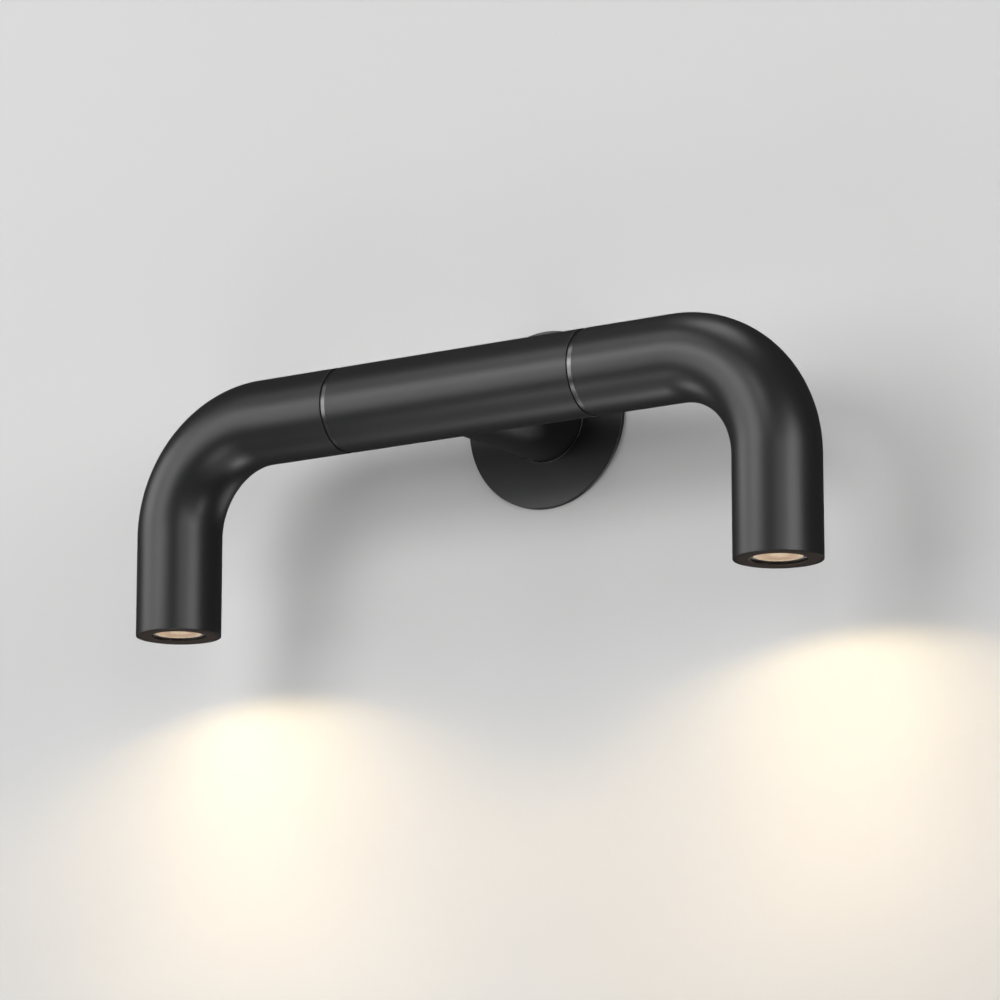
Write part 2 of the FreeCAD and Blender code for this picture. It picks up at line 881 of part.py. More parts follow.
def make_stop_pin(side):
    body = new_body(side + "_stop_pin")
    sketch = new_sketch(body, "XY_Plane", ring_face - s.pin_seat)
    draw_circle(sketch, s.pin_radius, 0, pin_circle * -side_signs[side])
    pad(body, sketch, s.pin_seat + collar_face - ring_face + s.pin_reach)
    place_on_swivel(body, side)


def make_thrust_washer(side):
    body = ring_of(side + "_thrust_washer", thread_radius, journal_radius + s.washer_width, ring_face, washer_top)
    place_on_swivel(body, side)


def make_swivel_collar(side):
    bore = journal_radius + s.running_gap
    web_top = collar_face + s.collar_web
    sleeve = journal_radius + s.collar_sleeve_wall
    rim = fitted_radius - s.collar_rim
    body = turned(side + "_swivel_collar", [
        (bore, collar_face),
        (fitted_radius - s.turned_edge, collar_face),
        (fitted_radius, collar_face + s.turned_edge),
        (fitted_radius, collar_top),
        (rim, collar_top),
        (rim, web_top),
        (sleeve, web_top),
        (sleeve, collar_top),
        (bore, collar_top),
    ])
    # the arc that the stop pin runs in: its two ends are the stops
    half_slot = s.pin_radius + s.pin_play
    arc = new_sketch(body, "XZ_Plane")
    arc_floor = collar_face + s.pin_reach + s.pin_end_gap
    draw_outline(arc, [
        (pin_circle - half_slot, collar_face),
        (pin_circle + half_slot, collar_face),
        (pin_circle + half_slot, arc_floor),
        (pin_circle - half_slot, arc_floor),
    ])
    cut = groove(body, arc)
    bind(cut, "Angle", s.swing_out + s.swing_in + arc_degrees(half_slot, pin_circle) * 2)
    cut.Midplane = True
    # the seal's groove in the bore
    seal_room = s.seal_section + s.slip_gap
    seal_height = collar_face + s.collar_length - s.seal_place
    seat = new_sketch(body, "XZ_Plane")
    draw_outline(seat, [
        (bore - s.running_gap, seal_height - seal_room),
        (bore + seal_room * 2, seal_height - seal_room),
        (bore + seal_room * 2, seal_height + seal_room),
        (bore - s.running_gap, seal_height + seal_room),
    ])
    groove(body, seat)
    place_on_swivel(body, side)


def make_swivel_seal(side):
    middle = journal_radius + s.running_gap + s.seal_section
    body = round_ring(side + "_swivel_seal", middle, s.seal_section, collar_top - s.seal_place)
    place_on_swivel(body, side)


def make_disc_spring(side):
    spring_radius = journal_radius + s.spring_width
    body = turned(side + "_disc_spring", [
        (thread_radius, spring_face + s.spring_rise),
        (spring_radius, spring_face),
        (spring_radius, spring_face + s.spring_thick),
        (thread_radius, spring_top),
    ])
    place_on_swivel(body, side)


def make_ring_nut(side):
    nut_radius = journal_radius + s.nut_width
    body = ring_of(side + "_ring_nut", thread_radius, nut_radius, spring_top, nut_top)
    slot = new_sketch(body, "XY_Plane", nut_top)
    draw_rectangle(slot, s.nut_slot_depth * 2, s.nut_slot_width, nut_radius, 0)
    cut = pocket(body, slot, s.nut_slot_depth)
    polar(body, cut, nut_slot_count)
    place_on_swivel(body, side)


# Elbows, modelled about the bar's axis with local +X outwards


def circle_edges_at(shape, radius, centre):
    names = []
    for index, edge in enumerate(shape.Edges, start=1):
        if edge.Curve.TypeId == "Part::GeomCircle" and abs(edge.Curve.Radius - radius.value) < 1e-6:
            if edge.Curve.Center.distanceToPoint(centre) < 1e-6:
                names.append("Edge%d" % index)
    return names


def make_elbow_tube(side):
    body = new_body(side + "_elbow_tube")
    bend_start = head_place - s.bend_radius
    path = new_sketch(body, "XZ_Plane")
    corner = FreeCAD.Vector(bend_start.value, -s.bend_radius.value, 0)
    bend = Part.Circle(corner, FreeCAD.Vector(0, 0, 1), s.bend_radius.value)
    arc = Part.ArcOfCircle(bend, 0, math.pi / 2)
    run_end = FreeCAD.Vector(bend_start.value, 0, 0)
    drop_start = FreeCAD.Vector(head_place.value, -s.bend_radius.value, 0)
    path.addGeometry(Part.LineSegment(FreeCAD.Vector(elbow_start.value, 0, 0), run_end))
    path.addGeometry(arc)
    path.addGeometry(Part.LineSegment(drop_start, FreeCAD.Vector(head_place.value, -s.head_drop.value, 0)))
    path.addConstraint(Sketcher.Constraint("Tangent", 0, 2, 1, 2))
    path.addConstraint(Sketcher.Constraint("Tangent", 1, 1, 2, 1))
    fix_point(path, 0, 1, elbow_start, 0)
    fix_point(path, 1, 3, bend_start, -s.bend_radius)
    fix_point(path, 2, 2, head_place, -s.head_drop)
    section = new_sketch(body, "YZ_Plane", elbow_start)
    draw_circle(section, s.tube_radius)
    draw_circle(section, inner_radius)
    pipe = body.newObject("PartDesign::AdditivePipe", side + "_elbow_pipe")
    pipe.Profile = section
    pipe.Spine = (path, ["Edge1", "Edge2", "Edge3"])
    doc.recompute()
    bar_end = FreeCAD.Vector(elbow_start.value, 0, 0)
    mouth = FreeCAD.Vector(head_place.value, 0, -s.head_drop.value)
    rims = [name for end in (bar_end, mouth) for name in circle_edges_at(pipe.Shape, s.tube_radius, end)]
    bevel = body.newObject("PartDesign::Chamfer", side + "_elbow_chamfer")
    bevel.Base = (pipe, rims)
    bind(bevel, "Size", s.tube_edge)
    place(body, 0, -s.standoff, 0, head_turns[side])


def make_head_lead(side):
    # from the meeting face in the journal along the elbow to the board, clear of the heat sink's core
    turn = head_turns[side]
    down = s.head_drop - board_top
    drop_place = head_place - lamp_lead_offset
    start = bar_half + s.lead_joint_place
    points = [(start, 0, 0), (drop_place, 0, 0), (drop_place, 0, -down)]
    node = lead_node(side + "_head_lead", lead_solid(points, s.lamp_lead_radius, s.lamp_lead_bend))
    place(node, 0, -s.standoff, 0, turn)


# Heads, modelled about the drop's axis from the tube's end face upwards


glass_top = s.bezel_lip + s.glass_thick
holder_face = glass_top + s.holder_gap
lens_face = holder_face + s.holder_lip
board_face = lens_face + s.lens_height
board_top = board_face + s.board_thick
sink_top = board_top + s.sink_length
glass_room = fitted_radius - s.bezel_wall
holder_outer = glass_room - s.slip_gap
holder_bore = holder_outer - s.holder_wall
lens_radius = holder_bore - s.slip_gap
lens_well_radius = lens_radius * s.lens_well_share
board_screw_circle = holder_bore - s.screw_head_radius - s.board_screw_margin
sink_core_radius = board_screw_circle - screw_hole_radius - s.sink_core_margin


def make_bezel(side):
    opening = glass_room - s.bezel_lip_width
    body = turned(side + "_bezel", [
        (opening + s.turned_edge, 0),
        (fitted_radius - s.turned_edge, 0),
        (fitted_radius, s.turned_edge),
        (fitted_radius, s.bezel_skirt),
        (glass_room, s.bezel_skirt),
        (glass_room, s.bezel_lip),
        (opening, s.bezel_lip),
        (opening, s.turned_edge),
    ])
    seal_room = s.seal_section + s.slip_gap
    seat = new_sketch(body, "XZ_Plane")
    draw_outline(seat, [
        (fitted_radius + s.slip_gap - seal_room * 2, s.bezel_seal_place - seal_room),
        (inner_radius, s.bezel_seal_place - seal_room),
        (inner_radius, s.bezel_seal_place + seal_room),
        (fitted_radius + s.slip_gap - seal_room * 2, s.bezel_seal_place + seal_room),
    ])
    groove(body, seat)
    place_in_head(body, side)


def make_bezel_seal(side):
    middle = inner_radius - s.seal_section - s.running_gap
    body = round_ring(side + "_bezel_seal", middle, s.seal_section, s.bezel_seal_place)
    place_in_head(body, side)


def make_glass_seal(side):
    outer = glass_room - s.running_gap
    inner = outer - s.glass_seal_width
    body = ring_of(side + "_glass_seal", inner, outer, s.bezel_lip, glass_top)
    place_in_head(body, side)


def make_cover_glass(side):
    radius = glass_room - s.running_gap * 2 - s.glass_seal_width
    body = new_body(side + "_cover_glass")
    sketch = new_sketch(body, "XY_Plane", s.bezel_lip)
    draw_circle(sketch, radius)
    pad(body, sketch, s.glass_thick)
    place_in_head(body, side)


def make_lens_holder(side):
    opening = holder_bore - s.holder_lip_width
    body = turned(side + "_lens_holder", [
        (opening, holder_face),
        (holder_outer, holder_face),
        (holder_outer, board_face),
        (holder_bore, board_face),
        (holder_bore, lens_face),
        (opening, lens_face),
    ])
    place_in_head(body, side)


def make_lens(side):
    shoulder = lens_face + s.lens_flange
    body = turned(side + "_lens", [
        (0, lens_face),
        (lens_radius, lens_face),
        (lens_radius, shoulder),
        (lens_radius * s.lens_shoulder_share, shoulder),
        (lens_radius * s.lens_tip_share, board_face),
        (lens_well_radius, board_face),
        (lens_well_radius, board_face - s.lens_well_depth),
        (0, board_face - s.lens_well_depth),
    ])
    place_in_head(body, side)


def make_led_chip(side):
    body = new_body(side + "_led_chip")
    sketch = new_sketch(body, "XY_Plane", board_face)
    draw_circle(sketch, lens_well_radius - s.chip_gap)
    pad(body, sketch, s.chip_thick, reverse=True)
    place_in_head(body, side)


def make_led_board(side):
    body = new_body(side + "_led_board")
    sketch = new_sketch(body, "XY_Plane", board_face)
    draw_circle(sketch, glass_room - s.board_margin)
    pad(body, sketch, s.board_thick)
    holes = new_sketch(body, "XY_Plane", board_face)
    for sign in (-1, 1):
        draw_circle(holes, screw_hole_radius, 0, board_screw_circle * sign)
    pocket(body, holes, s.board_thick, reverse=True)
    place_in_head(body, side)


def make_board_screws(side):
    # heads under the board, shanks up into the heat sink
    places = [(0, board_screw_circle * sign) for sign in (-1, 1)]
    body = new_body(side + "_board_screws")
    heads = new_sketch(body, "XY_Plane", board_face)
    shanks = new_sketch(body, "XY_Plane", board_face)
    for across, up in places:
        draw_circle(heads, s.screw_head_radius, across, up)
        draw_circle(shanks, s.screw_radius, across, up)
    pad(body, heads, s.screw_head_height, reverse=True)
    pad(body, shanks, s.board_thick + s.sink_base)
    place_in_head(body, side)


def make_heat_sink(side):
    body = new_body(side + "_heat_sink")
    base = new_sketch(body, "XY_Plane", board_top)
    draw_circle(base, fitted_radius)
    pad(body, base, s.sink_base)
    core = new_sketch(body, "XY_Plane", board_top)
    draw_circle(core, sink_core_radius)
    pad(body, core, s.sink_length)
    holes = new_sketch(body, "XY_Plane", board_top)
    for sign in (-1, 1):
        draw_circle(holes, screw_hole_radius, 0, board_screw_circle * sign)
    draw_circle(holes, s.lamp_lead_radius + s.swing_gap, -lamp_lead_offset, 0)
    pocket(body, holes, s.sink_base, reverse=True)
    fin = new_sketch(body, "XY_Plane", board_top + s.sink_base)
    # half a step round, so that a gap between two fins faces the lead
    fin.AttachmentOffset = FreeCAD.Placement(
        FreeCAD.Vector(0, 0, (board_top + s.sink_base).value),
        FreeCAD.Rotation(FreeCAD.Vector(0, 0, 1), 180 / fin_count))
    fin_end = other_leg(fitted_radius, s.fin_thick / 2)
    fin_start = sink_core_radius - s.fin_thick / 2
    fin_half = s.fin_thick / 2
    draw_outline(fin, [
        (fin_start, -fin_half),
        (fin_end, -fin_half),
        (fin_end, fin_half),
        (fin_start, fin_half),
    ])
    first = pad(body, fin, s.sink_length - s.sink_base)
    polar(body, first, fin_count)
    place_in_head(body, side)


make_wall_bracket()
make_cable_grommet()
make_neck_spigot()
make_spigot_screws()
make_neck_grub_screws()
make_rosette()
make_rosette_gasket()
make_neck_tube()
make_bar_tube()
make_terminal_strap()
make_strap_screws()
make_terminal_block()
make_terminal_screws()
make_supply_leads()
make_driver_case()
make_driver_tray()
make_driver_screws()
for side in ("left", "right"):
    make_output_lead(side)
    make_swivel_hub(side)
    make_stop_pin(side)
    make_thrust_washer(side)
    make_disc_spring(side)
    make_ring_nut(side)
    make_elbow_tube(side)
    make_swivel_collar(side)
    make_swivel_seal(side)
    make_head_lead(side)
    make_heat_sink(side)
    make_led_board(side)
    make_led_chip(side)
    make_board_screws(side)
    make_lens(side)
    make_lens_holder(side)
    make_cover_glass(side)
    make_glass_seal(side)
    make_bezel(side)
    make_bezel_seal(side)
doc.recompute()

nodes = [item for item in doc.Objects if item.TypeId in ("PartDesign::Body", "Part::Feature")]
faults = []
for item in doc.Objects:
    if "Invalid" in item.State or "Error" in item.State:
        faults.append("%s is %s" % (item.Name, item.State))
for node in nodes:
    if node.Shape.isNull() or not node.Shape.isValid() or not node.Shape.Solids:
        faults.append("%s has no valid solid" % node.Label)
if faults:
    raise RuntimeError("; ".join(faults))

os.makedirs("parts", exist_ok=True)
for node in nodes:
    node.Shape.exportStep("parts/%s.step" % node.Label)
print("%d nodes written" % len(nodes))
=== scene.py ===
import json
import math

import bmesh
import bpy
from mathutils import Matrix, Vector


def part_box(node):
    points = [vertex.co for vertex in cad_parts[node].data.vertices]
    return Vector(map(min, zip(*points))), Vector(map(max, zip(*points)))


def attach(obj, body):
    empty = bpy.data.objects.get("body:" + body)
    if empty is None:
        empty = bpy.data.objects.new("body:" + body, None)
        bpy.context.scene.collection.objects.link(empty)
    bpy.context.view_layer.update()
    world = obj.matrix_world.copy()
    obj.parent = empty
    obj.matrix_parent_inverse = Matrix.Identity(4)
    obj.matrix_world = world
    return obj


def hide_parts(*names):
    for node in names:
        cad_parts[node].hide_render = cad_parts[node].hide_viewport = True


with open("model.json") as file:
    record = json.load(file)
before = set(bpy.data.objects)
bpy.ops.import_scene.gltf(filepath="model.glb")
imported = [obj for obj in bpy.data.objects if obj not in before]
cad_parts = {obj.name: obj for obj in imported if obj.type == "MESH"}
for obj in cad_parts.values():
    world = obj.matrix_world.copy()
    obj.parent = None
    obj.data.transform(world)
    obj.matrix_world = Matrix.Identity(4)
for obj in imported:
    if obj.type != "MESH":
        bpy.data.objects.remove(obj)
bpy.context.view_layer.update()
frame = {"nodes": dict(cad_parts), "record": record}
print("model loaded:", len(frame["nodes"]), "nodes")

# Metres. The wall is the plane y = 0 and the light stands off towards -Y.
mm = 0.001
sides = {"left": -1, "right": 1}

barLow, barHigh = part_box("bar_tube")
sinkLow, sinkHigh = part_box("right_heat_sink")
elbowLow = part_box("right_elbow_tube")[0]
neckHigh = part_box("neck_tube")[1]
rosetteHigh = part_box("rosette")[1]

tubeRadius = (barHigh.z - barLow.z) / 2
barHalf = barHigh.x
barDepth = (barLow.y + barHigh.y) / 2   # the bar's axis, in front of the wall
elbowStart = elbowLow.x
headPlace = (sinkLow.x + sinkHigh.x) / 2
mouthHeight = elbowLow.z

tube = {
    "wall": 2.0 * mm,
    "edge": 0.4 * mm,        # rounding of the cut ends
    "bendRadius": 74.5 * mm,
    "segments": 144,         # round the tube
    "bendSteps": 40,         # along the bend
}

# How near a point or a face lies to count as in place
near = {
    "point": 0.001 * mm,      # to a point that it becomes one with
    "weldPoint": 0.002 * mm,  # the same, where the neck's skin meets the bar's
    "edge": 0.01 * mm,        # to the plane or circle of an edge
    "skin": 0.02 * mm,        # to the bar's skin
    "cutCircle": 0.05 * mm,   # to the circle of a tube's cut end
    "level": 0.02,            # the sideways share of the normal of a face on the bar's skin
}
sharpAngle = math.radians(40)


# Places of the pieces

def fitFrame(origin, zAxis, xAxis):
    # a matrix that takes a piece drawn about its own Z axis to its place
    z = Vector(zAxis).normalized()
    x = Vector(xAxis).normalized()
    turn = Matrix((x, z.cross(x), z)).transposed().to_4x4()
    return Matrix.Translation(origin) @ turn


def barFrame(x):
    return fitFrame((x, barDepth, 0), (1, 0, 0), (0, 0, 1))


def wallFrame():
    return fitFrame((0, 0, 0), (0, -1, 0), (1, 0, 0))


def swivelFrame(side):
    return fitFrame((barHalf * sides[side], barDepth, 0), (sides[side], 0, 0), (0, 0, 1))


def headFrame(side):
    return fitFrame((headPlace * sides[side], barDepth, mouthHeight), (0, 0, 1), (1, 0, 0))


# Shared mesh steps

def unique(items):
    return list(dict.fromkeys(items))


def turned(profile, place, segments=tube["segments"], closed=True):
    # profile: (radius, height, rounding) in millimetres, spun round Z
    mesh = bmesh.new()
    points = [mesh.verts.new((radius * mm, 0, height * mm)) for radius, height, rounding in profile]
    lines = [mesh.edges.new(pair) for pair in zip(points, points[1:])]
    if closed:
        lines.append(mesh.edges.new((points[-1], points[0])))
    bmesh.ops.spin(mesh, geom=points + lines, cent=(0, 0, 0), axis=(0, 0, 1), dvec=(0, 0, 0),
                   angle=math.tau, steps=segments, use_merge=True)
    bmesh.ops.remove_doubles(mesh, verts=mesh.verts, dist=near["point"])
    bmesh.ops.recalc_face_normals(mesh, faces=mesh.faces)
    for radius, height, rounding in profile:
        if rounding:
            roundEdges(mesh, ringEdges(mesh, radius * mm, height * mm), rounding * mm)
    mesh.transform(place)
    return mesh


def ringEdges(mesh, radius, height):
    def onRing(vert):
        return abs(vert.co.xy.length - radius) < near["edge"] and abs(vert.co.z - height) < near["edge"]
    return [edge for edge in mesh.edges if all(onRing(vert) for vert in edge.verts)]


def roundEdges(mesh, edges, size, segments=3):
    bmesh.ops.bevel(mesh, geom=edges, offset=size, offset_type="OFFSET", affect="EDGES",
                    segments=segments, profile=0.5, material=-1)


def circleLoop(mesh, place):
    made = bmesh.ops.create_circle(mesh, cap_ends=False, radius=tubeRadius, segments=tube["segments"],
                                   matrix=place)
    return unique(edge for vert in made["verts"] for edge in vert.link_edges)


def extrudeLoop(mesh, edges, step):
    # returns the new open end
    made = bmesh.ops.extrude_edge_only(mesh, edges=edges)["geom"]
    moved = [item for item in made if isinstance(item, bmesh.types.BMVert)]
    bmesh.ops.translate(mesh, verts=moved, vec=step)
    return [item for item in made
            if isinstance(item, bmesh.types.BMEdge) and len(item.link_faces) == 1]


def thicken(mesh):
    # the tube's outer skin becomes a tube with a wall, inwards
    bmesh.ops.recalc_face_normals(mesh, faces=mesh.faces)
    bmesh.ops.solidify(mesh, geom=mesh.faces[:], thickness=tube["wall"])
    bmesh.ops.recalc_face_normals(mesh, faces=mesh.faces)


def roundCuts(mesh, *places):
    # rounds the outer edges of a tube's cut ends, whose planes and axes are those of the places
    edges = []
    for place in places:
        toPlace = place.inverted()
        onCut = {vert for vert in mesh.verts
                 if abs((toPlace @ vert.co).z) < near["edge"]
                 and abs((toPlace @ vert.co).xy.length - tubeRadius) < near["cutCircle"]}
        edges += [edge for edge in mesh.edges if set(edge.verts) <= onCut]
    roundEdges(mesh, edges, tube["edge"])


def addObject(name, data):
    thing = bpy.data.objects.new(name, data)
    bpy.context.scene.collection.objects.link(thing)
    return thing


def addMesh(name, mesh, material):
    data = bpy.data.meshes.new(name)
    mesh.to_mesh(data)
    mesh.free()
    data.materials.append(material)
    return addObject(name, data)


def finishPiece(name, mesh, body, nodes, slotName):
    bmesh.ops.remove_doubles(mesh, verts=mesh.verts, dist=near["point"])
    bmesh.ops.recalc_face_normals(mesh, faces=mesh.faces)
    piece = addMesh(name, mesh, finishes[slotName])
    for face in piece.data.polygons:
        face.use_smooth = True
    piece.data.set_sharp_from_angle(angle=sharpAngle)
    weighted = piece.modifiers.new("weighted", "WEIGHTED_NORMAL")
    weighted.keep_sharp = True
    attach(piece, body)
    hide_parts(*nodes)


def finishHeadPiece(side, name, mesh, node, slotName):
    finishPiece(side + name, mesh, side + "_head", [side + node], slotName)


# Shader arithmetic: a wire is one socket's value, and Python's operators add the Math nodes

class Wire:
    def __init__(self, bench, socket):
        self.bench = bench
        self.socket = socket

    def maths(self, operation, *values):
        return self.bench.node("ShaderNodeMath", dict(enumerate(values)), operation=operation)

    def __add__(self, other):
        return self.maths("ADD", self, other)

    def __sub__(self, other):
        return self.maths("SUBTRACT", self, other)

    def __mul__(self, other):
        return self.maths("MULTIPLY", self, other)

    def __truediv__(self, other):
        return self.maths("DIVIDE", self, other)

    def __pow__(self, power):
        return self.maths("POWER", self, power)

    __radd__ = __add__

    def absolute(self):
        return self.maths("ABSOLUTE", self)

    def larger(self, other):
        return self.maths("MAXIMUM", self, other)

    def stops(self, *pairs):
        # a ramp through (value, result) pairs
        ramp = self.bench.node("ShaderNodeValToRGB", {0: self})
        elements = ramp.socket.node.color_ramp.elements
        while len(elements) < len(pairs):
            elements.new(1.0)
        for element, (value, result) in zip(elements, pairs):
            element.position = value
            element.color = (result, result, result, 1)
        return ramp

    def also(self, output):
        # another output of the same node
        return Wire(self.bench, self.socket.node.outputs[output])


class NodeBench:
    def __init__(self, tree):
        self.tree = tree

    def node(self, kind, inputs=None, output=0, **settings):
        made = self.tree.nodes.new(kind)
        for key, value in settings.items():
            setattr(made, key, value)
        for key, value in (inputs or {}).items():
            self.connect(value, made.inputs[key])
        return Wire(self, made.outputs[output])

    def connect(self, value, socket):
        if isinstance(value, Wire):
            self.tree.links.new(value.socket, socket)
        else:
            socket.default_value = value

    def seenByCamera(self):
        # 1 on what the camera sees, straight or through glass
        camera = self.node("ShaderNodeLightPath", output="Is Camera Ray")
        return camera.larger(camera.also("Is Transmission Ray"))


shaderSockets = {
    "colour": "Base Color", "roughness": "Roughness", "metallic": "Metallic", "normal": "Normal",
    "coat": "Coat Weight", "coatRoughness": "Coat Roughness", "ior": "IOR",
    "specular": "Specular IOR Level", "transmission": "Transmission Weight",
    "glow": "Emission Color", "glowStrength": "Emission Strength", "sheen": "Sheen Weight",
    "sheenRoughness": "Sheen Roughness",
}
mixSockets = {"factor": 0, "first": 6, "second": 7, "result": 2}   # of a Mix node set to colours


class Finish(NodeBench):
    def __init__(self, name, **constants):
        self.material = bpy.data.materials.new(name)
        self.material.use_nodes = True
        super().__init__(self.material.node_tree)
        self.shader = self.tree.nodes["Principled BSDF"]
        self.place = self.node("ShaderNodeTexCoord", output="Object")
        self.paint(**constants)

    def noise(self, size, detail=2.0, roughness=0.5, stretch=(1, 1, 1)):
        # size is the grain in metres
        spread = self.node("ShaderNodeMapping",
                           {"Vector": self.place, "Scale": tuple(part / size for part in stretch)})
        return self.node("ShaderNodeTexNoise",
                         {"Vector": spread, "Scale": 1.0, "Detail": detail, "Roughness": roughness})

    def cells(self, feature, size, output, **inputs):
        # size is a cell's width in metres
        return self.node("ShaderNodeTexVoronoi", {"Vector": self.place, "Scale": 1 / size, **inputs},
                         output=output, feature=feature)

    def blend(self, factor, first, second):
        inputs = {mixSockets["factor"]: factor, mixSockets["first"]: (*first, 1),
                  mixSockets["second"]: (*second, 1)}
        return self.node("ShaderNodeMix", inputs, output=mixSockets["result"], data_type="RGBA")

    def bump(self, height, distance):
        return self.node("ShaderNodeBump", {"Height": height, "Distance": distance, "Strength": 1.0})

    def paint(self, **values):
        for name, value in values.items():
            self.connect(value, self.shader.inputs[shaderSockets[name]])
        return self.material


# Finishes

def grained(name, dark, light, grain, roughness, spread, bump, detail=2.0, stretch=(1, 1, 1),
            cloud=None, **constants):
    # fine grain sets roughness and bump, and the colour too where no wider cloud does
    finish = Finish(name, **constants)
    fine = finish.noise(grain, detail=detail, stretch=stretch)
    tone = finish.noise(cloud) if cloud else fine
    return finish.paint(colour=finish.blend(tone, dark, light), roughness=roughness + fine * spread,
                        normal=finish.bump(fine, bump))


powder = {
    "dark": (0.008, 0.008, 0.0082),
    "light": (0.014, 0.014, 0.014),
    "grain": 0.50 * mm,
    "grainDetail": 3.0,
    "grainHarshness": 0.6,
    "grainHeight": 0.006 * mm,
    "cloud": 40 * mm,
    "roughness": 0.38,       # on average, with what grain and cloud add to it
    "grainSpread": 0.08,
    "cloudSpread": 0.05,
}


def powderCoat():
    coat = Finish("powderCoat")
    grain = coat.noise(powder["grain"], detail=powder["grainDetail"], roughness=powder["grainHarshness"])
    cloud = coat.noise(powder["cloud"])
    # noise lies about a half
    rough = (powder["roughness"] + (grain - 0.5) * powder["grainSpread"]
             + (cloud - 0.5) * powder["cloudSpread"])
    return coat.paint(colour=coat.blend(grain, powder["dark"], powder["light"]), roughness=rough,
                      normal=coat.bump(grain, powder["grainHeight"]))


def satinLacquer():
    # painted warm cast: the black lacquer is tinted brown to stand in for the lamps' warm light falling
    # on the bezel
    return grained("satinLacquer", dark=(0.028, 0.017, 0.011), light=(0.038, 0.024, 0.017),
                   grain=0.35 * mm, roughness=0.40, spread=0.12, bump=0.006 * mm)


def blackAnodised():
    return grained("blackAnodised", dark=(0.100, 0.100, 0.103), light=(0.150, 0.150, 0.153),
                   grain=0.12 * mm, stretch=(1.0, 0.02, 0.02), roughness=0.27, spread=0.08,
                   bump=0.0005 * mm, metallic=1.0)


def stainless():
    return grained("stainless", dark=(0.52, 0.52, 0.53), light=(0.68, 0.68, 0.68),
                   grain=0.25 * mm, detail=3.0, roughness=0.24, spread=0.14, bump=0.003 * mm,
                   metallic=1.0)


def turnedAluminium():
    return grained("turnedAluminium", dark=(0.66, 0.665, 0.67), light=(0.76, 0.765, 0.77),
                   grain=0.2 * mm, cloud=9 * mm, roughness=0.26, spread=0.16, bump=0.004 * mm,
                   metallic=1.0)


def rubber(name, dark, light, grain):
    return grained(name, dark, light, grain, detail=3.0, roughness=0.62, spread=0.2, bump=0.02 * mm,
                   sheen=0.15, sheenRoughness=0.5)


def moulded(name, dark, light, roughness):
    return grained(name, dark, light, grain=0.3 * mm, cloud=14 * mm, roughness=roughness,
                   spread=0.12, bump=0.008 * mm)


zinc = {
    "dark": (0.50, 0.51, 0.53), "light": (0.66, 0.67, 0.68),
    "spangle": 4.0 * mm, "grain": 0.4 * mm, "grainDetail": 3.0, "grainHeight": 0.004 * mm,
    "roughness": 0.28, "spangleSpread": 0.14, "grainSpread": 0.08,
}


def zincPlate():
    plate = Finish("zincPlate", metallic=1.0)
    spangle = plate.node("ShaderNodeRGBToBW", {0: plate.cells("F1", zinc["spangle"], "Color")})
    grain = plate.noise(zinc["grain"], detail=zinc["grainDetail"])
    rough = zinc["roughness"] + spangle * zinc["spangleSpread"] + grain * zinc["grainSpread"]
    return plate.paint(colour=plate.blend(spangle, zinc["dark"], zinc["light"]), roughness=rough,
                       normal=plate.bump(grain, zinc["grainHeight"]))


sponge = {
    "hollow": (0.022, 0.022, 0.023), "skin": (0.075, 0.075, 0.078),
    "cell": 0.7 * mm, "skinShare": 0.25, "depth": 0.15 * mm, "roughness": 0.9,
}


def foam():
    finish = Finish("foam", roughness=sponge["roughness"])
    # painted shade: the cell hollows are coloured darker than the cell walls, for the shade that falls
    # in the pits
    fromSkin = finish.cells("DISTANCE_TO_EDGE", sponge["cell"], "Distance")
    skin = fromSkin.stops((0.0, 1.0), (sponge["skinShare"], 0.0))
    return finish.paint(colour=finish.blend(skin, sponge["hollow"], sponge["skin"]),
                        normal=finish.bump(skin, sponge["depth"]))


board = {
    "dark": (0.78, 0.78, 0.76), "light": (0.86, 0.86, 0.84), "weave": 0.5 * mm,
    "roughness": 0.34, "coat": 0.3, "spread": 0.1, "coatRoughness": 0.2,
}


def solderResist():
    finish = Finish("solderResist", coatRoughness=board["coatRoughness"])
    weave = finish.noise(board["weave"])
    return finish.paint(colour=finish.blend(weave, board["dark"], board["light"]),
                        roughness=board["roughness"] + weave * board["spread"],
                        coat=board["coat"] + weave * board["spread"])


chip = {
    "dark": (0.86, 0.62, 0.16), "light": (0.95, 0.74, 0.26), "dots": 0.25 * mm, "roughness": 0.55,
    "darkGlow": (1.0, 0.62, 0.28), "lightGlow": (1.0, 0.74, 0.42), "strength": 6.0,
}


def phosphor():
    finish = Finish("phosphor", glowStrength=chip["strength"], roughness=chip["roughness"])
    dots = finish.noise(chip["dots"])
    return finish.paint(colour=finish.blend(dots, chip["dark"], chip["light"]),
                        glow=finish.blend(dots, chip["darkGlow"], chip["lightGlow"]))


def fromHeadAxis(finish):
    # distance from the head's own axis as a share of the tube's radius, the same for both heads
    x = finish.node("ShaderNodeSeparateXYZ", {0: finish.place}, output="X")
    across = x.absolute() - headPlace
    depth = x.also("Y") - barDepth
    return (across * across + depth * depth) ** 0.5 / tubeRadius


optic = {
    # painted light: the lens's base colour is painted in rings, lighter over the chip and towards the
    # edge, and its glow in the same rings stands in for the chip's light shining through the lens
    "middle": (0.22, 0.15, 0.09), "rim": (0.36, 0.28, 0.18),
    "middleGlow": (0.52, 0.29, 0.13), "rimGlow": (0.76, 0.54, 0.33), "strength": 1.05,
    # bright over the chip, deeper round it, and pale again towards the lens's edge
    "rimShares": ((0.0, 1.0), (0.17, 0.9), (0.25, 0.2), (0.36, 0.0), (0.45, 0.6), (0.52, 1.0)),
    "dimple": 2.6 * mm, "dimpleDepth": 0.10 * mm, "smoothness": 0.6,
    "roughness": 0.18, "spread": 0.1, "ior": 1.49,
}


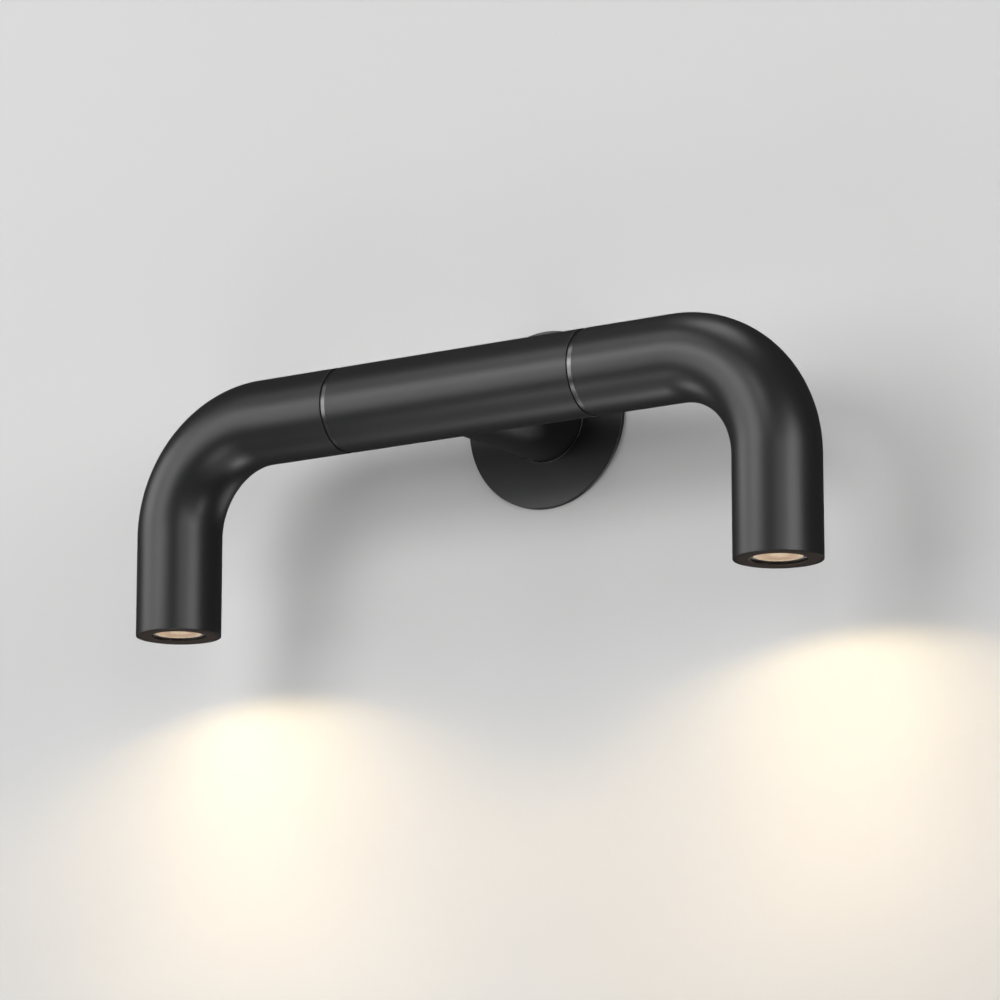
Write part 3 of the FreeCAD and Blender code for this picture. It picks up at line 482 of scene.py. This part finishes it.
def clearLens():
    finish = Finish("clearLens", ior=optic["ior"], glowStrength=optic["strength"])
    # painted light and painted glow: this one ring mask makes both the base colour and the glow brighter
    # over the chip and at the lens's edge
    rim = fromHeadAxis(finish).stops(*optic["rimShares"])
    dimples = finish.cells("SMOOTH_F1", optic["dimple"], "Distance", Smoothness=optic["smoothness"])
    return finish.paint(colour=finish.blend(rim, optic["middle"], optic["rim"]),
                        glow=finish.blend(rim, optic["middleGlow"], optic["rimGlow"]),
                        roughness=optic["roughness"] + dimples * optic["spread"],
                        normal=finish.bump(dimples, optic["dimpleDepth"]))


pane = {"dark": (0.96, 0.975, 0.97), "light": (0.99, 0.995, 0.99), "smear": 6 * mm, "roughness": 0.02,
        "ior": 1.45}


def clearGlass():
    finish = Finish("clearGlass", transmission=1.0, ior=pane["ior"])
    smear = finish.noise(pane["smear"])
    return finish.paint(colour=finish.blend(smear, pane["dark"], pane["light"]),
                        roughness=smear * pane["roughness"])


finishes = {
    "tube_coat": powderCoat(),
    "bezel_coat": satinLacquer(),
    "ring_metal": blackAnodised(),
    "plate_steel": zincPlate(),
    "screw_steel": stainless(),
    "turned_aluminium": turnedAluminium(),
    "seal_rubber": rubber("sealRubber", (0.020, 0.020, 0.020), (0.035, 0.035, 0.035), 0.3 * mm),
    "gasket_foam": foam(),
    "lead_cover": rubber("leadCover", (0.10, 0.10, 0.11), (0.14, 0.14, 0.15), 0.5 * mm),
    "washer_plastic": moulded("washerPlastic", (0.78, 0.78, 0.74), (0.86, 0.86, 0.82), 0.35),
    "terminal_plastic": moulded("terminalPlastic", (0.74, 0.74, 0.70), (0.82, 0.82, 0.78), 0.40),
    "driver_plastic": moulded("driverPlastic", (0.82, 0.82, 0.80), (0.90, 0.90, 0.88), 0.42),
    "holder_plastic": moulded("holderPlastic", (0.012, 0.011, 0.010), (0.020, 0.018, 0.016), 0.38),
    "board_white": solderResist(),
    "chip_yellow": phosphor(),
    "lens_clear": clearLens(),
    "glass_clear": clearGlass(),
}
slotOf = {part["node"]: part["material_slot"] for part in frame["record"]["subparts"]}
for nodeName, node in frame["nodes"].items():
    for slot in node.material_slots:
        slot.material = finishes[slotOf[nodeName]]
print("finishes made:", len(finishes))


# Bar and neck

def makeBar():
    start = barFrame(-barHalf)
    mesh = bmesh.new()
    extrudeLoop(mesh, circleLoop(mesh, start), (barHalf * 2, 0, 0))
    thicken(mesh)
    roundCuts(mesh, start, barFrame(barHalf))
    finishPiece("bar", mesh, "wall_body", ["bar_tube"], "tube_coat")


neck = {
    "weldRadius": 1.8 * mm,   # the dressed weld where the neck meets the bar
    "weldSegments": 4,
    "weldReach": 5.0 * mm,    # nearer the middle the tubes run into each other with no corner
    "patchShare": 1.5,        # half the stretch of bar that the weld is rounded against, in radii
}


def mitre(mesh, others, **settings):
    # cuts all faces but the others along the two planes in which the neck and the bar meet
    for sign in (-1, 1):
        faces = [face for face in mesh.faces if face not in others]
        geometry = unique(item for face in faces for item in (*face.verts, *face.edges))
        bmesh.ops.bisect_plane(mesh, geom=geometry + faces, dist=near["point"],
                               plane_co=(0, barDepth, 0), plane_no=(sign, -1, 0), **settings)
    return [face for face in mesh.faces if face not in others]


def behindMitre(face):
    middle = face.calc_center_median()
    return middle.y - barDepth > abs(middle.x)


def onWeld(vert):
    return (abs(vert.co.y - barDepth - abs(vert.co.x)) < near["edge"]
            and abs(vert.co.xz.length - tubeRadius) < near["edge"]
            and abs(vert.co.x) > neck["weldReach"])


def onBarSkin(vert):
    return abs(math.hypot(vert.co.y - barDepth, vert.co.z) - tubeRadius) < near["skin"]


def makeNeck():
    mesh = bmesh.new()
    start = fitFrame((0, neckHigh.y, 0), (0, -1, 0), (0, 0, 1))
    extrudeLoop(mesh, circleLoop(mesh, start), (0, barDepth - neckHigh.y, 0))
    neckFaces = set(mitre(mesh, set(), clear_outer=True))
    # a stretch of the bar's skin, there only while the weld is rounded against it
    patchHalf = tubeRadius * neck["patchShare"]
    extrudeLoop(mesh, circleLoop(mesh, barFrame(-patchHalf)), (patchHalf * 2, 0, 0))
    patch = mitre(mesh, neckFaces)
    bmesh.ops.delete(mesh, geom=[face for face in patch if behindMitre(face)], context="FACES")
    bmesh.ops.remove_doubles(mesh, verts=mesh.verts, dist=near["weldPoint"])
    bmesh.ops.recalc_face_normals(mesh, faces=mesh.faces)
    weld = [edge for edge in mesh.edges
            if len(edge.link_faces) == 2 and all(onWeld(vert) for vert in edge.verts)]
    roundEdges(mesh, weld, neck["weldRadius"], segments=neck["weldSegments"])
    patch = [face for face in mesh.faces
             if all(onBarSkin(vert) for vert in face.verts) and abs(face.normal.x) < near["level"]]
    bmesh.ops.delete(mesh, geom=patch, context="FACES")
    thicken(mesh)
    finishPiece("neck", mesh, "wall_body", ["neck_tube"], "tube_coat")


makeBar()
makeNeck()
print("bar and neck made")


# Rosette: a shallow round cap with a hole for the neck, in millimetres like all turned pieces

rosette = {
    "hole": 30.25, "depth": 3.3, "sheet": 1.0, "lipWidth": 1.1, "lipHeight": 0.6,
    "rimEdge": 0.8, "backEdge": 0.2, "innerEdge": 0.3, "holeEdge": 0.15, "lipEdge": 0.5,
    "lipFootEdge": 0.2, "segments": 192,
}


def makeRosette():
    outside = rosetteHigh.x / mm
    under = rosette["depth"] - rosette["sheet"]
    inside = outside - rosette["sheet"]
    lipOutside = rosette["hole"] + rosette["lipWidth"]
    lipTop = rosette["depth"] + rosette["lipHeight"]
    mesh = turned([
        (rosette["hole"], under, rosette["holeEdge"]),
        (inside, under, rosette["innerEdge"]),
        (inside, 0, rosette["backEdge"]),
        (outside, 0, rosette["backEdge"]),
        (outside, rosette["depth"], rosette["rimEdge"]),
        (lipOutside, rosette["depth"], rosette["lipFootEdge"]),
        (lipOutside, lipTop, rosette["lipEdge"]),
        (rosette["hole"], lipTop, rosette["lipEdge"]),
    ], wallFrame(), segments=rosette["segments"])
    finishPiece("rosetteCap", mesh, "wall_body", ["rosette"], "tube_coat")


makeRosette()
print("rosette made")


# Swivels: the hub's rim shows as the ring between the bar and each elbow

hub = {
    "plugRadius": 27.9, "plugBore": 20.0, "plugLength": 16.0, "web": 4.0,
    "ringRadius": 29.0, "ringFace": 3.7, "ringEdge": 0.3,
    "journalRadius": 14.0, "journalBore": 9.0, "journalLength": 29.0,
    "outerEdge": 0.3, "boreEdge": 0.2,
}


def makeHub(side):
    mesh = turned([
        (hub["journalBore"], -hub["web"], hub["boreEdge"]),
        (hub["plugBore"], -hub["web"], hub["boreEdge"]),
        (hub["plugBore"], -hub["plugLength"], hub["boreEdge"]),
        (hub["plugRadius"], -hub["plugLength"], hub["outerEdge"]),
        (hub["plugRadius"], 0, 0),
        (hub["ringRadius"], 0, hub["ringEdge"]),
        (hub["ringRadius"], hub["ringFace"], hub["ringEdge"]),
        (hub["journalRadius"], hub["ringFace"], 0),
        (hub["journalRadius"], hub["journalLength"], hub["outerEdge"]),
        (hub["journalBore"], hub["journalLength"], hub["boreEdge"]),
    ], swivelFrame(side))
    finishPiece(side + "Hub", mesh, "wall_body", [side + "_swivel_hub"], "ring_metal")


# Elbows, drawn on the right and mirrored for the left

def makeElbow(side):
    mesh = bmesh.new()
    start = barFrame(elbowStart)
    bendStart = headPlace - tube["bendRadius"]
    straight = extrudeLoop(mesh, circleLoop(mesh, start), (bendStart - elbowStart, 0, 0))
    ends = unique(vert for edge in straight for vert in edge.verts)
    bent = bmesh.ops.spin(mesh, geom=ends + straight, cent=(bendStart, barDepth, -tube["bendRadius"]),
                          axis=(0, 1, 0), dvec=(0, 0, 0), angle=math.pi / 2, steps=tube["bendSteps"],
                          use_merge=False)["geom_last"]
    bent = [item for item in bent if isinstance(item, bmesh.types.BMEdge)]
    extrudeLoop(mesh, bent, (0, 0, mouthHeight + tube["bendRadius"]))
    thicken(mesh)
    roundCuts(mesh, start, headFrame("right"))
    bmesh.ops.scale(mesh, verts=mesh.verts, vec=(sides[side], 1, 1))
    finishHeadPiece(side, "Elbow", mesh, "_elbow_tube", "tube_coat")


# Lamp heads, drawn from the mouth's end face upwards

bezel = {
    "outer": 27.9, "room": 24.0, "opening": 19.4, "lip": 1.2, "skirt": 14.0,
    "sealPlace": 8.0, "sealHalf": 1.1, "sealDepth": 2.1,
    "faceEdge": 0.35, "sealEdge": 0.1, "skirtEdge": 0.2, "lipEdge": 0.15,
}


def makeBezel(side):
    sealLow = bezel["sealPlace"] - bezel["sealHalf"]
    sealHigh = bezel["sealPlace"] + bezel["sealHalf"]
    sealFloor = bezel["outer"] - bezel["sealDepth"]
    mesh = turned([
        (bezel["opening"], 0, bezel["faceEdge"]),
        (bezel["outer"], 0, bezel["faceEdge"]),
        (bezel["outer"], sealLow, bezel["sealEdge"]),
        (sealFloor, sealLow, 0),
        (sealFloor, sealHigh, 0),
        (bezel["outer"], sealHigh, bezel["sealEdge"]),
        (bezel["outer"], bezel["skirt"], bezel["skirtEdge"]),
        (bezel["room"], bezel["skirt"], bezel["skirtEdge"]),
        (bezel["room"], bezel["lip"], 0),
        (bezel["opening"], bezel["lip"], bezel["lipEdge"]),
    ], headFrame(side))
    finishHeadPiece(side, "BezelRing", mesh, "_bezel", "bezel_coat")


glass = {"radius": 22.8, "face": 1.2, "thick": 1.5, "edge": 0.2}


def makeGlass(side):
    mesh = turned([
        (0, glass["face"], 0),
        (glass["radius"], glass["face"], glass["edge"]),
        (glass["radius"], glass["face"] + glass["thick"], glass["edge"]),
        (0, glass["face"] + glass["thick"], 0),
    ], headFrame(side), closed=False)
    finishHeadPiece(side, "GlassDisc", mesh, "_cover_glass", "glass_clear")


holder = {
    "outer": 23.9, "opening": 16.3, "face": 2.8, "lip": 0.6, "bore": 18.3, "top": 18.4,
    "faceEdge": 0.3, "openingEdge": 0.15, "topEdge": 0.2, "lipEdge": 0.1,
}


def makeHolder(side):
    mesh = turned([
        (holder["opening"], holder["face"], holder["openingEdge"]),
        (holder["outer"], holder["face"], holder["faceEdge"]),
        (holder["outer"], holder["top"], holder["topEdge"]),
        (holder["bore"], holder["top"], holder["topEdge"]),
        (holder["bore"], holder["face"] + holder["lip"], 0),
        (holder["opening"], holder["face"] + holder["lip"], holder["lipEdge"]),
    ], headFrame(side))
    finishHeadPiece(side, "LensHolder", mesh, "_lens_holder", "holder_plastic")


lens = {
    "radius": 18.2, "face": 3.4, "flange": 1.5, "shoulder": 16.75, "tip": 6.5, "top": 18.4,
    "well": 4.8, "wellDepth": 4.0, "dish": 10.2, "dishRim": 11.6, "dishDepth": 0.8,
    "dishEdge": 0.4, "flangeEdge": 0.15, "tipEdge": 0.1, "wellEdge": 0.3, "segments": 96,
}


def makeLens(side):
    # a collimating cone with a flange, a dished face, and a well for the chip at its tip
    mesh = turned([
        (0, lens["face"] + lens["dishDepth"], 0),
        (lens["dish"], lens["face"] + lens["dishDepth"], lens["dishEdge"]),
        (lens["dishRim"], lens["face"], lens["dishEdge"]),
        (lens["radius"], lens["face"], lens["flangeEdge"]),
        (lens["radius"], lens["face"] + lens["flange"], lens["flangeEdge"]),
        (lens["shoulder"], lens["face"] + lens["flange"], 0),
        (lens["tip"], lens["top"], lens["tipEdge"]),
        (lens["well"], lens["top"], lens["tipEdge"]),
        (lens["well"], lens["top"] - lens["wellDepth"], lens["wellEdge"]),
        (0, lens["top"] - lens["wellDepth"], 0),
    ], headFrame(side), segments=lens["segments"], closed=False)
    finishHeadPiece(side, "Optic", mesh, "_lens", "lens_clear")


for side in sides:
    makeHub(side)
    makeElbow(side)
    makeBezel(side)
    makeGlass(side)
    makeHolder(side)
    makeLens(side)
    print(side, "head made")


# Stage: a pale wall that the light hangs on, clear from behind, and a pale floor far below

stage = {
    "wallColour": (0.68, 0.68, 0.68),
    "wallGap": 0.5 * mm,
    "wallSize": 2.4,
    "wallGrain": 1.5 * mm,
    "wallGrainHeight": 0.01 * mm,
    "floorColour": (0.68, 0.68, 0.68),
    "floorSeen": 0.62,       # the far floor lies in the dark, so the camera is shown it pale
    "floorSize": 60.0,
    "floorHeight": -2.6,
    "floorGrain": 3 * mm,
    "floorGrainHeight": 0.02 * mm,
    "roughness": 0.9,
    "specular": 0.2,
}


def stagePlane(name, size, place, material):
    mesh = bmesh.new()
    bmesh.ops.create_grid(mesh, x_segments=1, y_segments=1, size=size / 2, matrix=place)
    plane = addMesh(name, mesh, material)
    plane.visible_glossy = False   # the black coat's edges stay dark, as in the photograph


def wallPaint():
    # solid from in front, and clear from behind and to the lamps behind it
    paint = Finish("wallPaint", roughness=stage["roughness"], specular=stage["specular"])
    grain = paint.noise(stage["wallGrain"])
    paint.paint(colour=(*stage["wallColour"], 1), normal=paint.bump(grain, stage["wallGrainHeight"]))
    behind = paint.node("ShaderNodeNewGeometry", output="Backfacing")
    shadow = paint.node("ShaderNodeLightPath", output="Is Shadow Ray")
    solid = Wire(paint, paint.shader.outputs["BSDF"])
    clear = paint.node("ShaderNodeBsdfTransparent")
    mixed = paint.node("ShaderNodeMixShader", {0: behind.larger(shadow), 1: solid, 2: clear})
    paint.connect(mixed, paint.tree.nodes["Material Output"].inputs["Surface"])
    return paint.material


def floorPaint():
    paint = Finish("floorPaint", roughness=stage["roughness"], specular=stage["specular"],
                   glowStrength=1.0)
    grain = paint.noise(stage["floorGrain"])
    return paint.paint(colour=(*stage["floorColour"], 1), glow=paint.seenByCamera() * stage["floorSeen"],
                       normal=paint.bump(grain, stage["floorGrainHeight"]))


wallPlace = Matrix.Translation((0, stage["wallGap"], 0)) @ wallFrame()
floorPlace = Matrix.Translation((0, 0, stage["floorHeight"]))
stagePlane("wallPlane", stage["wallSize"], wallPlace, wallPaint())
stagePlane("floorPlane", stage["floorSize"], floorPlace, floorPaint())


# Lamps of the studio, aimed at the middle of the bar: azimuth in degrees from straight in front,
# positive to the right, elevation above the bar, size across and up, power in watts

lampDistance = 2.4           # of those that name no distance of their own
softboxes = {
    "key": {"azimuth": -20, "elevation": 18, "size": (1.5, 0.76), "power": 17.0},
    "keyUnder": {"azimuth": -33, "elevation": -8, "size": (1.2, 0.76), "power": 6.6},
    "keyHigh": {"azimuth": -33, "elevation": 45, "size": (1.1, 0.76), "power": 6.1},
    "leftStrip": {"azimuth": -48, "elevation": 6, "size": (2.7, 0.76), "power": 11.0},
    "farLeft": {"azimuth": -67, "elevation": 18, "size": (1.4, 0.76), "power": 8.9},
    "lowLeft": {"azimuth": -120, "elevation": -72, "size": (0.8, 0.8), "power": 12.1},
    "underLeft": {"azimuth": -90, "elevation": -35, "size": (0.8, 0.8), "power": 6.5},
    "overhead": {"azimuth": 0, "elevation": 85, "size": (1.2, 1.2), "power": 12.6},
    "rightStrip": {"azimuth": 47, "elevation": 2, "size": (2.0, 0.76), "power": 11.6},
    "farRight": {"azimuth": 73, "elevation": 8, "size": (1.3, 1.2), "power": 17.0},
    "rimRight": {"azimuth": 80, "elevation": -22, "size": (0.6, 0.6), "power": 6.0},
    "lowFront": {"azimuth": -15, "elevation": -70, "distance": 1.3, "size": (0.9, 0.9), "power": 1.8},
    "nearLow": {"azimuth": -30, "elevation": -46, "distance": 0.69, "size": (0.2, 0.2), "power": 0.36},
    "nearRight": {"azimuth": 27, "elevation": 24, "distance": 0.73, "size": (0.2, 0.2), "power": 0.55},
    "behind": {"azimuth": 165, "elevation": -25, "distance": 2.6, "size": (1.6, 1.6), "power": 7.0},
}


def addSoftbox(name, box):
    lamp = bpy.data.lights.new(name + "Softbox", "AREA")
    lamp.shape = "ELLIPSE"
    lamp.size, lamp.size_y = box["size"]
    lamp.energy = box["power"]
    azimuth = math.radians(box["azimuth"])
    elevation = math.radians(box["elevation"])
    away = Vector((math.sin(azimuth) * math.cos(elevation), -math.cos(azimuth) * math.cos(elevation),
                   math.sin(elevation)))
    thing = addObject(name + "Softbox", lamp)
    thing.location = Vector((0, barDepth, 0)) + away * box.get("distance", lampDistance)
    thing.rotation_euler = away.to_track_quat("Z", "Y").to_euler()


for name, box in softboxes.items():
    addSoftbox(name, box)


# The heads' own warm light, which turns with them: a spot at the mouth for the rim of the pool on
# the wall, and two a little in front of it for the pool's width

beams = {
    "Core": {"power": 0.70, "spread": 112, "softness": 0.6, "forward": 60 * mm,
             "colour": (1.0, 0.74, 0.45)},
    "Wash": {"power": 0.70, "spread": 152, "softness": 0.3, "forward": 120 * mm,
             "colour": (1.0, 0.74, 0.43)},
    "Rim": {"power": 0.80, "spread": 160, "softness": 0.3, "forward": 0,
            "colour": (1.0, 0.78, 0.44)},
}
beamSource = {"radius": 10 * mm, "belowMouth": 1.0 * mm}


def addBeam(side, name, cone):
    lamp = bpy.data.lights.new(side + name + "Beam", "SPOT")
    lamp.color = cone["colour"]
    lamp.energy = cone["power"]
    lamp.spot_size = math.radians(cone["spread"])
    lamp.spot_blend = cone["softness"]
    lamp.shadow_soft_size = beamSource["radius"]
    thing = addObject(side + name + "Beam", lamp)
    thing.location = (headPlace * sides[side], barDepth - cone["forward"],
                      mouthHeight - beamSource["belowMouth"])
    thing.visible_camera = False
    thing.visible_glossy = False
    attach(thing, side + "_head")


for side in sides:
    for name, cone in beams.items():
        addBeam(side, name, cone)


# The room's brightness: what the camera sees of it, what the coat mirrors, and what it lights
room = {"seen": 0.66, "reflected": 0.03, "around": 0.01}


def paintWorld():
    world = bpy.data.worlds.new("paleRoom")
    bpy.context.scene.world = world
    world.use_nodes = True
    bench = NodeBench(world.node_tree)
    mirrored = bench.node("ShaderNodeLightPath", output="Is Glossy Ray")
    level = room["around"] + bench.seenByCamera() * room["seen"] + mirrored * room["reflected"]
    background = bench.tree.nodes["Background"]
    bench.connect((1, 1, 1, 1), background.inputs["Color"])
    bench.connect(level, background.inputs["Strength"])


paintWorld()
print("stage and lamps set")

# The photograph's viewpoint: low, from the right, looking up
viewpoint = {
    "place": (1.79155, -2.80674, -0.79637),
    "upwards": 0.2185,       # radians
    "leftwards": 0.5781,     # radians
    "lens": 176.04,
    "sensor": 36,
}
camera = addObject("viewpoint", bpy.data.cameras.new("viewpoint"))
camera.data.sensor_width = viewpoint["sensor"]
camera.data.lens = viewpoint["lens"]
camera.location = viewpoint["place"]
camera.rotation_euler = (math.pi / 2 + viewpoint["upwards"], 0, viewpoint["leftwards"])
bpy.context.scene.camera = camera
bpy.context.scene.view_settings.view_transform = "Standard"
